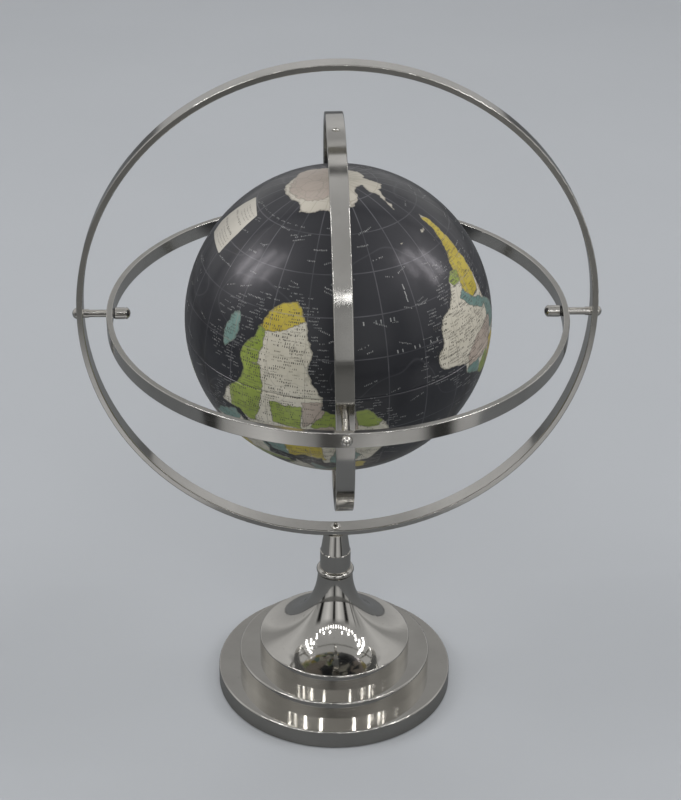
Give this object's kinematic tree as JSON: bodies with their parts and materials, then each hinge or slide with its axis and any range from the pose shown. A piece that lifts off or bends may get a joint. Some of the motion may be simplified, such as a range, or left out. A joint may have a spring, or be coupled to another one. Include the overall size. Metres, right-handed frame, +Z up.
{
  "type": "desktop globe on stand",
  "caption": "Black-ocean globe that spins inside nested, freely tilting metal rings on a stepped, bell-shaped polished stand.",
  "frame": {"origin": "centre of the felt pad's underside, on the table, under the stand's axis", "axes": "+Z up; the fixed outer ring stands in the XZ plane; the front of the globe faces -Y and +X is the viewer's right"},
  "size_m": [0.3506, 0.3106, 0.4705],
  "materials": {
    "ring_nickel": "polished nickel plate on flat bar",
    "stand_nickel": "mirror-polished nickel plate on turned and spun metal",
    "hardware_nickel": "bright nickel-plated screws and nuts",
    "plain_steel": "zinc-plated steel",
    "weight_iron": "rough cast",
    "felt": "dark green felt",
    "washer_fibre": "matte black fibre",
    "globe_shell": "printed map under clear lacquer, ocean black",
    "band_board": "plain board",
    "bush_brass": "turned brass"
  },
  "bodies": {
    "stand": {"felt_pad": "felt", "base_weight": "weight_iron", "lower_disc": "stand_nickel", "middle_disc": "stand_nickel", "bell_column": "stand_nickel", "stem_bead": "stand_nickel", "lower_neck": "stand_nickel", "upper_neck": "stand_nickel", "tie_rod": "plain_steel", "tie_washer": "plain_steel", "tie_nut": "plain_steel", "ring_screw": "hardware_nickel", "outer_ring": "ring_nickel", "left_pivot_screw": "hardware_nickel", "left_locking_collar": "hardware_nickel", "left_spacer_sleeve": "hardware_nickel", "left_friction_washer": "washer_fibre", "left_cap_nut": "hardware_nickel", "right_pivot_screw": "hardware_nickel", "right_locking_collar": "hardware_nickel", "right_spacer_sleeve": "hardware_nickel", "right_friction_washer": "washer_fibre", "right_cap_nut": "hardware_nickel"},
    "horizon": {"horizon_ring": "ring_nickel", "front_pivot_screw": "hardware_nickel", "front_locking_collar": "hardware_nickel", "front_spacer_sleeve": "hardware_nickel", "front_friction_washer": "washer_fibre", "front_cap_nut": "hardware_nickel", "back_pivot_screw": "hardware_nickel", "back_locking_collar": "hardware_nickel", "back_spacer_sleeve": "hardware_nickel", "back_friction_washer": "washer_fibre", "back_cap_nut": "hardware_nickel"},
    "meridian": {"meridian_ring": "ring_nickel", "top_pole_pin": "hardware_nickel", "top_pole_sleeve": "hardware_nickel", "bottom_pole_pin": "hardware_nickel", "bottom_pole_sleeve": "hardware_nickel"},
    "globe": {"southern_hemisphere": "globe_shell", "northern_hemisphere": "globe_shell", "equator_band": "band_board", "top_pole_bush": "bush_brass", "bottom_pole_bush": "bush_brass"}
  },
  "joints": [
    {"name": "horizon_tilt", "type": "hinge", "parent": "stand", "child": "horizon", "pos_m": [0, 0, 0.2985], "axis": [1, 0, 0], "continuous": true},
    {"name": "meridian_turn", "type": "hinge", "parent": "horizon", "child": "meridian", "pos_m": [0, 0, 0.2985], "axis": [0, 0.9976, 0.0698], "continuous": true},
    {"name": "globe_spin", "type": "hinge", "parent": "meridian", "child": "globe", "pos_m": [0, 0, 0.2985], "axis": [-0.0244, -0.0697, 0.9973], "continuous": true}
  ]
}
